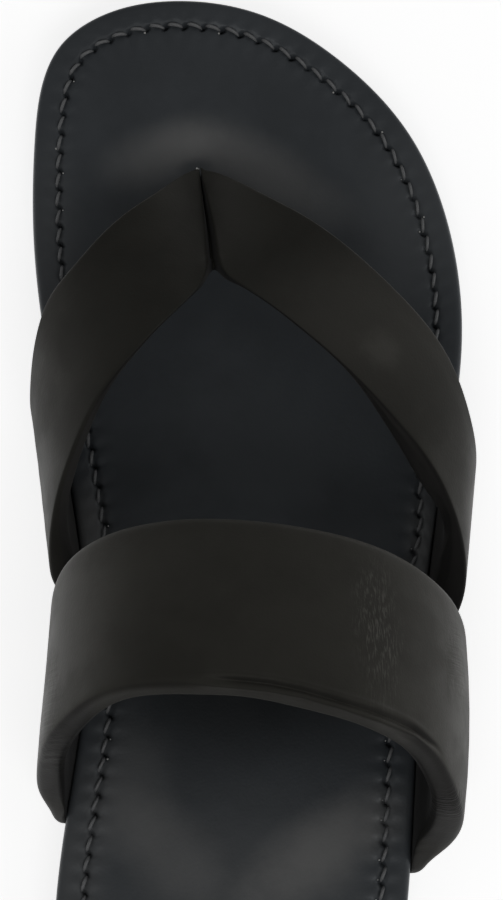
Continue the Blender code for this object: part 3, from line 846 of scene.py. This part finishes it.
thongShape = {   # in mm
    "seam": {
        "points": [
            (-12.3, 93.0, 14.9), (-11.9, 89.0, 17.2), (-11.0, 82.0, 21.2), (-10.1, 76.0, 25.0),
            (-9.4, 70.0, 29.2), (-8.9, 65.0, 32.8), (-8.4, 59.0, 37.0), (-7.8, 52.0, 42.0),
        ],
        "depth": 1.8, "halfWidth": 1.60, "smoothReach": 2.6, "smoothRepeat": 14,
    },
    "pulls": [   # place, reach, move
        ((-8.5, 60.5, 37.0), (2.6, 3.6, 6.0), (0.0, 2.4, 0.0)),
        ((-8.4, 62.0, 34.0), (1.6, 2.2, 6.0), (0.0, 1.6, -2.4)),
        ((-11.6, 87.2, 21.0), (0.7, 1.8, 5.0), (0.0, 0.9, 0.0)),
        ((43.5, 14.0, 8.0), (5.0, 5.0, 12.0), (0.0, 2.4, 0.0)),
    ],
    "roll": {   # lower edge of the lateral arm, pushed out behind it
        "points": [
            (12.4, 45.0, 47.6), (19.4, 37.7, 47.0), (25.4, 31.5, 46.4), (30.4, 26.2, 44.5),
            (35.9, 19.9, 41.0), (39.1, 15.2, 37.3), (41.4, 10.6, 33.6), (43.0, 6.5, 29.5),
            (44.0, 3.0, 26.0),
        ],
        "reach": 3.0, "move": (-2.2, -2.0, 0.0),
        "begins": (0.12, 0.67), "ends": 0.35,   # shares of the edge over which it fades
        "upmost": (0.1, 0.6),   # faces that look up more than this stay
    },
    "paintedRearShade": (1.0, -0.7, 0.0),   # painted shade on faces that look back: over the foot, and more on the medial and lateral sides
}

instepShape = {
    # painted shade on the band's rear faces: over the foot, medial and lateral
    "paintedRearShade": (0.48, 0.52, 0.52),
    "pulls": [
        ((-14.0, -36.5, 77.0), (13.0, 5.0, 9.0), (0.0, -1.4, 0.0)),
    ],
    "creases": [   # points, depth (a ridge where negative), half width
        ([(-10.4, -33.6, 79.2), (-2.3, -34.2, 79.3), (3.8, -34.8, 78.9), (10.3, -35.9, 77.7),
          (18.0, -38.0, 75.1), (26.4, -40.2, 69.5), (33.9, -42.7, 62.6), (38.9, -45.7, 55.3),
          (40.6, -47.6, 52.0)], 0.80, 0.62),
        ([(-16.0, -34.6, 78.6), (-10.4, -34.8, 78.8), (-2.3, -35.4, 78.8), (3.8, -36.0, 78.4),
          (10.3, -37.1, 77.1), (18.0, -39.2, 74.4), (26.4, -41.4, 68.8), (33.9, -43.9, 61.9),
          (38.5, -46.7, 54.9)], -0.26, 0.50),
        ([(-16.0, -32.6, 79.2), (-10.4, -32.4, 79.5), (-2.3, -32.6, 79.7), (3.8, -33.2, 79.3),
          (10.3, -34.2, 78.1), (18.0, -36.3, 75.4), (26.4, -38.5, 69.8), (33.9, -41.0, 62.9),
          (38.9, -44.0, 55.6)], -0.20, 0.55),
    ],
}


def distanceToLine(places, points):
    # distance of each place from a line, and how far along it the nearest point lies
    points = np.asarray(points, float) * mm
    best = np.full(len(places), 1e9)
    along = np.zeros(len(places))
    steps = np.linalg.norm(np.diff(points, axis=0), axis=1)
    starts = np.concatenate([[0.0], np.cumsum(steps)])
    for i in range(len(points) - 1):
        ray = points[i + 1] - points[i]
        t = np.clip(((places - points[i]) @ ray) / (ray @ ray), 0.0, 1.0)
        gap = np.linalg.norm(places - (points[i] + t[:, None] * ray), axis=1)
        closer = gap < best
        best[closer] = gap[closer]
        along[closer] = (starts[i] + t[closer] * steps[i]) / starts[-1]
    return best, along


def refineAlong(piece, points, reach):
    # finer faces where a crease is to be pressed
    gap = distanceToLine(readPlaces(piece), points)[0]
    startEdit(piece, "FACE")
    shape = bmesh.from_edit_mesh(piece.data)
    for face in shape.faces:
        face.select = all(gap[vert.index] < reach * mm for vert in face.verts)
    shape.select_flush(True)
    bmesh.update_edit_mesh(piece.data)
    bpy.ops.mesh.subdivide(number_cuts=1, smoothness=0.0)
    endEdit()


def pressCrease(piece, points, depth, halfWidth, up=None):
    places = readPlaces(piece)
    if up is None:   # draws the line onto the surface
        spots = [np.linalg.norm(places - np.array(point) * mm, axis=1).argmin() for point in points]
        points = places[spots] / mm
    gap, along = distanceToLine(places, points)
    fade = smoothStep(along / strapShape["creaseFade"])
    fade = fade * smoothStep((1 - along) / strapShape["creaseFade"])
    dent = np.exp(-((gap / (halfWidth * mm)) ** 2)) * fade * depth * mm
    direction = readNormals(piece) if up is None else np.array([up])
    writePlaces(piece, places - direction * dent[:, None])


def smoothAlong(piece, points, reach, repeat):
    gap = distanceToLine(readPlaces(piece), points)[0]
    startEdit(piece)
    shape = bmesh.from_edit_mesh(piece.data)
    for vert in shape.verts:
        vert.select = bool(gap[vert.index] < reach * mm)
    shape.select_flush(True)
    bmesh.update_edit_mesh(piece.data)
    bpy.ops.mesh.vertices_smooth(factor=0.5, repeat=repeat)
    endEdit()


def rollEdge(piece, points, reach, move, begins, ends, upmost):
    # pushes the underside out along an edge and leaves the upper face
    places, normals = readPlaces(piece), readNormals(piece)
    gap, along = distanceToLine(places, points)
    fade = ramp(along, *begins) * smoothStep((1 - along) / ends)
    weight = np.exp(-((gap / (reach * mm)) ** 2)) * fade * (1 - ramp(normals[:, 2], *upmost))
    writePlaces(piece, places + weight[:, None] * np.array(move) * mm)


def pullSpot(piece, place, reach, move):
    places = readPlaces(piece)
    share = (places - np.array(place) * mm) / (np.array(reach) * mm)
    weight = np.exp(-(share**2).sum(axis=1))
    writePlaces(piece, places + weight[:, None] * np.array(move) * mm)


# settings for leaning the inside onto the footbed, and for the masks of painted shade
liningAndShade = {   # in mm; spans run from none to full
    "gap": 0.2,
    "height": 30.0,
    "foot": 2.0,
    "farthest": 4.0,
    "footFacing": (0.15, 0.50),
    "axis": 24.0,   # height of the line that the inside looks at
    "facing": (0.10, 0.60),
    "upmost": (0.05, 0.45),   # how far up it may look, over the foot and at the sides
    "upFade": 0.3,
    "wide": (20.0, 30.0),
    "rear": (0.14, 0.50),
    "beside": (30.0, 36.0),
    "above": (20.0, 26.0),
    "outlineStep": 6,
    "batch": 4000,
}


def markLiningAndShade(piece, paintedRearShade):
    # marks the surfaces that look at the foot: their tone is darker on the band as painted shade,
    # lighter on the thong
    places, normals = readPlaces(piece) / mm, readNormals(piece)
    wide = np.abs(places[:, 0])
    inward = np.stack([-places[:, 0], liningAndShade["axis"] - places[:, 2]], axis=1)
    inward /= np.linalg.norm(inward, axis=1)[:, None] + 1e-9
    facing = ramp((normals[:, [0, 2]] * inward).sum(axis=1), *liningAndShade["facing"])
    low, high = liningAndShade["upmost"]
    limit = low + (high - low) * ramp(wide, *liningAndShade["wide"])
    mask = facing * (1 - smoothStep((normals[:, 2] - limit) / liningAndShade["upFade"]))
    # painted shade on faces that look back: a dark line along the rear edges, more at the sides
    beside = ramp(wide, *liningAndShade["beside"]) * ramp(places[:, 2], *liningAndShade["above"])
    over, medial, lateral = paintedRearShade
    rear = ramp(-normals[:, 1], *liningAndShade["rear"])
    rear = rear * (over + beside * np.where(places[:, 0] < 0, medial, lateral))
    for name, values in (("liningAndShade", mask), ("turned", rear)):
        layer = piece.data.attributes.new(name, "FLOAT", "POINT")
        layer.data.foreach_set("value", values.astype(np.float32))


def leanToFootbed(piece):
    # the lining closes on the footbed's edge where the strap comes up beside it
    places, normals = readPlaces(piece) / mm, readNormals(piece)
    flat = places[:, :2] - np.array(sole["shift"])
    level = footbedTop(flat[:, 1])
    low = np.flatnonzero(places[:, 2] < level + liningAndShade["height"])
    step, batch = liningAndShade["outlineStep"], liningAndShade["batch"]
    loop, outward = outlineLoop[::step], outlineOutward[::step]
    nearest = np.empty(len(low), int)
    for start in range(0, len(low), batch):
        chunk = flat[low[start:start + batch]]
        far = ((chunk[:, None, :] - loop[None, :, :]) ** 2).sum(axis=2)
        nearest[start:start + batch] = far.argmin(axis=1)
    side = outward[nearest]
    gap = ((flat[low] - loop[nearest]) * side).sum(axis=1)
    facing = ramp(-(normals[low, :2] * side).sum(axis=1), *liningAndShade["footFacing"])
    rise = places[low, 2] - level[low]
    under = smoothStep((rise + sole["footbedThickness"] + liningAndShade["foot"]) / liningAndShade["foot"])
    weight = facing * under * (1 - smoothStep(rise / liningAndShade["height"]))
    move = -np.clip(gap - liningAndShade["gap"], 0.0, liningAndShade["farthest"]) * weight
    places[low, :2] += side * move[:, None]
    writePlaces(piece, places * mm)


def makeStrap(node, name, leather, form):
    piece = copyNode(node, name)
    recoverQuads(piece)
    cutLongEdges(piece, strapShape["longEdge"], strapShape["cuts"])
    subdivideSurface(piece, strapShape["levels"])
    leanToFootbed(piece)
    for place, reach, move in form["pulls"]:
        pullSpot(piece, place, reach, move)
    if "roll" in form:
        rollEdge(piece, **form["roll"])
    if "seam" in form:   # soft leather sinks where the two arms meet
        seam = form["seam"]
        points = seam["points"]
        refineAlong(piece, points, strapShape["refineReach"])
        smoothAlong(piece, points, seam["smoothReach"], seam["smoothRepeat"])
        pressCrease(piece, points, seam["depth"], seam["halfWidth"], up=(0.0, 0.0, 1.0))
    creases = form.get("creases", [])
    if creases:
        refineAlong(piece, creases[0][0], strapShape["refineReach"])
    for points, depth, halfWidth in creases:
        pressCrease(piece, points, depth, halfWidth)
    smoothShading(piece, 180)
    dress(piece, leather)
    markLiningAndShade(piece, form["paintedRearShade"])
    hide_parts(node)
    return piece


thongPiece = makeStrap("thong_strap", "thong_padding", thongLeather, thongShape)
print("thong:", countTriangles(thongPiece), "triangles")
instepPiece = makeStrap("instep_strap", "instep_padding", strapLeather, instepShape)
print("instep band:", countTriangles(instepPiece), "triangles")


# lock stitches: one thread loop modelled once, then copied along the seam

stitch = {   # in mm, shares of the pitch where noted
    "radius": 0.41,
    "sides": 7,
    "cuts": 6,
    "reach": 0.40,   # half of the thread that shows, as a share of the pitch
    "taper": (1.06, 0.05),   # where it would end, as a share of the reach, and its least
    "slant": 0.40,
    "slantVaries": 0.5,
    "placeVaries": 0.04,   # share of the pitch
    "aside": 0.10,
    "bow": 0.31,
    "sink": 0.70,
    "drop": 0.08,
    "seamSamples": 4000,
    "glintBead": (0.30, 0.40),   # radius of a painted glint bead, and the share of slits that show one
    "glintFaces": (6, 4),
    "glintSizes": (0.45, 0.95),
    "glintSides": (-1.05, 0.85, 0.3),   # aside, inner and outer, and the share of outer ones
    "glintLean": 0.69,
    "glintDrop": 0.16,
    # pale beads on the thong's tip as painted glints: place, size
    "tip": [((-12.6, 88.5, 21.8), 0.85), ((-12.1, 88.2, 21.6), 0.50)],   # place, size
    "tipLift": (0.0, 0.12, 0.12),
    "sharpAngle": 60,
}


def seamPlace(at, aside, seam, outward):
    # places at a distance along the seam, as a share of its length, and aside from it
    spot = (np.asarray(at) % 1.0) * len(seam)
    low = np.floor(spot).astype(int) % len(seam)
    high = (low + 1) % len(seam)
    mix = (spot - np.floor(spot))[:, None]
    flat = seam[low] * (1 - mix) + seam[high] * mix
    side = outward[low] * (1 - mix) + outward[high] * mix
    flat = flat + side * np.asarray(aside)[:, None]
    relief = bedRelief(flat[:, 0], flat[:, 1])
    ease = smoothStep(footbed["seamInset"] / footbed["dimpleInset"])
    return flat, footbedTop(flat[:, 1]) + relief * ease


def makeStitchShape():
    deselectAll()
    bpy.ops.mesh.primitive_cylinder_add(
        vertices=stitch["sides"], radius=stitch["radius"] * mm, depth=2 * mm, end_fill_type="NGON"
    )
    piece = bpy.context.object
    piece.name = "stitch_loop"
    startEdit(piece, "EDGE")
    shape = bmesh.from_edit_mesh(piece.data)
    for edge in shape.edges:
        low, high = edge.verts
        edge.select = abs(low.co.z - high.co.z) > mm
    bmesh.update_edit_mesh(piece.data)
    bpy.ops.mesh.subdivide(number_cuts=stitch["cuts"])
    endEdit()
    piece.data.materials.append(waxedThread)
    return piece


def makeGlintShape():
    deselectAll()
    segments, rings = stitch["glintFaces"]
    radius = stitch["glintBead"][0] * mm
    bpy.ops.mesh.primitive_uv_sphere_add(segments=segments, ring_count=rings, radius=radius)
    piece = bpy.context.object
    piece.name = "stitch_glint"
    piece.data.materials.append(paintedGlint)
    return piece


def copyPattern(pattern, places):
    activate(pattern)
    bpy.ops.object.duplicate(linked=False)
    piece = bpy.context.object
    writePlaces(piece, places)
    return piece


def threadPlaces(number, local, seam, outward):
    wobble = scatter(number, 1) - 0.5
    t = local[:, 2]   # -1 to 1 along the thread
    end, least = stitch["taper"]
    taper = np.sqrt(np.clip(1 - (np.abs(t) / end) ** 4, least, 1.0))
    slant = stitch["slant"] * t * (1 + stitch["slantVaries"] * wobble)
    aside = local[:, 0] * taper - slant + stitch["aside"]
    at = number + 0.5 + t * stitch["reach"] + stitch["placeVaries"] * wobble
    flat, level = seamPlace(at / footbed["stitches"], aside, seam, outward)
    lift = stitch["bow"] * (1 - t**2) - stitch["sink"] * np.abs(t) ** 3 - stitch["drop"]
    return toRow(np.column_stack([flat, level + lift + local[:, 1] * taper]))


def glintPlaces(number, local, seam, outward, pitch):
    small, large = stitch["glintSizes"]
    size = small + (large - small) * scatter(number, 3)
    inner, outer, outerShare = stitch["glintSides"]
    aside = outer if scatter(number, 4) < outerShare else inner
    at = number + (stitch["glintLean"] * aside + local[:, 0] * size) / pitch
    flat, level = seamPlace(at / footbed["stitches"], aside + local[:, 1] * size, seam, outward)
    return toRow(np.column_stack([flat, level + local[:, 2] * size - stitch["glintDrop"]]))


def makeStitching():
    count = footbed["stitches"]
    base, outward, seamLength = loopStations(footbed["seamInset"], stitch["seamSamples"])
    seam = insetPlaces(base, outward, footbed["seamInset"])
    loop, glintBead = makeStitchShape(), makeGlintShape()
    loopLocal, glintLocal = readPlaces(loop) / mm, readPlaces(glintBead) / mm
    pieces = []
    for number in range(count):
        pieces.append(copyPattern(loop, threadPlaces(number, loopLocal, seam, outward)))
        # pale beads beside some slits, as painted glints
        if scatter(number, 2) < stitch["glintBead"][1]:
            bead = glintPlaces(number, glintLocal, seam, outward, seamLength / count)
            pieces.append(copyPattern(glintBead, bead))
    strapPlaces = readPlaces(thongPiece) / mm
    for place, size in stitch["tip"]:   # painted glints on the thong's tip
        nearest = strapPlaces[np.linalg.norm(strapPlaces - np.array(place), axis=1).argmin()]
        bead = (glintLocal * size + nearest + np.array(stitch["tipLift"])) * mm
        pieces.append(copyPattern(glintBead, bead))
    for pattern in (loop, glintBead):
        activate(pattern)
        bpy.ops.object.delete()
    activate(pieces[0])
    for thread in pieces:
        thread.select_set(True)
    bpy.ops.object.join()
    piece = bpy.context.object
    piece.name = "footbed_stitching"
    startEdit(piece, first="SELECT")
    bpy.ops.mesh.normals_make_consistent(inside=False)
    endEdit()
    smoothShading(piece, stitch["sharpAngle"])
    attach(piece, "root")
    return piece


stitchPiece = makeStitching()
print("stitching:", countTriangles(stitchPiece), "triangles")


# outsole: the CAD solid with a finish

outsole = {"sharpAngle": 30}


def makeOutsole():
    piece = copyNode("outsole", "outsole_rubber")
    smoothShading(piece, outsole["sharpAngle"])
    dress(piece, soleRubber)
    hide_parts("outsole")
    return piece


outsolePiece = makeOutsole()
print("outsole:", countTriangles(outsolePiece), "triangles")


# studio: pale floor, soft light from behind and both sides, camera nearly overhead

studio = {
    "floorSize": 6.0,
    "floorColour": (0.86, 0.86, 0.86),
    "floorMottle": (40.0, 0.99),   # scale, share of the colour in its darker spots
    "floorRoughness": 0.7,
    "floorGloss": 0.1,
    "floorGlow": 0.75,
    "world": 0.17,
    "lights": [   # place, size, power
        ((0.10, -0.75, 1.25), (0.9, 0.5), 2.5),
        ((1.05, -0.05, 0.50), (0.5, 1.2), 1.0),
        ((-1.05, 0.05, 0.50), (0.5, 1.2), 0.25),
    ],
    "aim": (0.0, 0.02, 0.03),
}


def makeFloor():
    deselectAll()
    bpy.ops.mesh.primitive_plane_add(size=studio["floorSize"], location=(0.0, 0.0, 0.0))
    floor = bpy.context.object
    floor.name = "floor"
    material, tree, shader = newFinish("paleFloor")
    scale, share = studio["floorMottle"]
    mottle = addNode(tree, "ShaderNodeTexNoise", None, {"Scale": scale, "Detail": 3.0})
    tree.links.new(objectPlace(tree), mottle.inputs["Vector"])
    pale = studio["floorColour"]
    darker = tuple(value * share for value in pale)
    colour = blendColour(tree, mottle.outputs["Fac"], pale, darker)
    tree.links.new(colour, shader.inputs["Base Color"])
    shader.inputs["Roughness"].default_value = studio["floorRoughness"]
    shader.inputs["Specular IOR Level"].default_value = studio["floorGloss"]
    shader.inputs["Emission Color"].default_value = (1.0, 1.0, 1.0, 1.0)
    shader.inputs["Emission Strength"].default_value = studio["floorGlow"]
    floor.data.materials.append(material)


def addSoftLight(name, place, size, power):
    deselectAll()
    bpy.ops.object.light_add(type="AREA", location=place)
    light = bpy.context.object
    light.name = name
    light.data.shape = "RECTANGLE"
    light.data.size, light.data.size_y = size
    light.data.energy = power
    toward = Vector(studio["aim"]) - Vector(place)
    light.rotation_euler = toward.to_track_quat("-Z", "Y").to_euler()


def makeStudio():
    makeFloor()
    for number, (place, size, power) in enumerate(studio["lights"]):
        addSoftLight(f"soft_light_{number}", place, size, power)
    world = bpy.data.worlds.new("studio")
    world.use_nodes = True
    background = world.node_tree.nodes["Background"]
    background.inputs["Color"].default_value = (1.0, 1.0, 1.0, 1.0)
    background.inputs["Strength"].default_value = studio["world"]
    scene.world = world
    scene.view_settings.view_transform = "Standard"


view = {
    "aim": (0.00001, 0.0251, 0.012),
    "distance": 0.7,
    "elevation": 80.0,
    "pixelsPerMm": 4.40,
    "pixels": (503, 900),
    "sensor": 36.0,
}


def makeCamera():
    tilt = math.radians(view["elevation"])
    away = Vector((0.0, -math.cos(tilt), math.sin(tilt))) * view["distance"]
    turned = (math.radians(90 - view["elevation"]), 0.0, 0.0)
    deselectAll()
    bpy.ops.object.camera_add(location=Vector(view["aim"]) + away, rotation=turned)
    camera = bpy.context.object
    camera.name = "photo_camera"
    camera.data.sensor_width = view["sensor"]
    focal = view["distance"] / mm * view["pixelsPerMm"]   # in pixels
    camera.data.lens = focal * view["sensor"] / max(view["pixels"])
    scene.camera = camera


makeStudio()
makeCamera()
deselectAll()
print("studio ready")

bpy.context.view_layer.update()
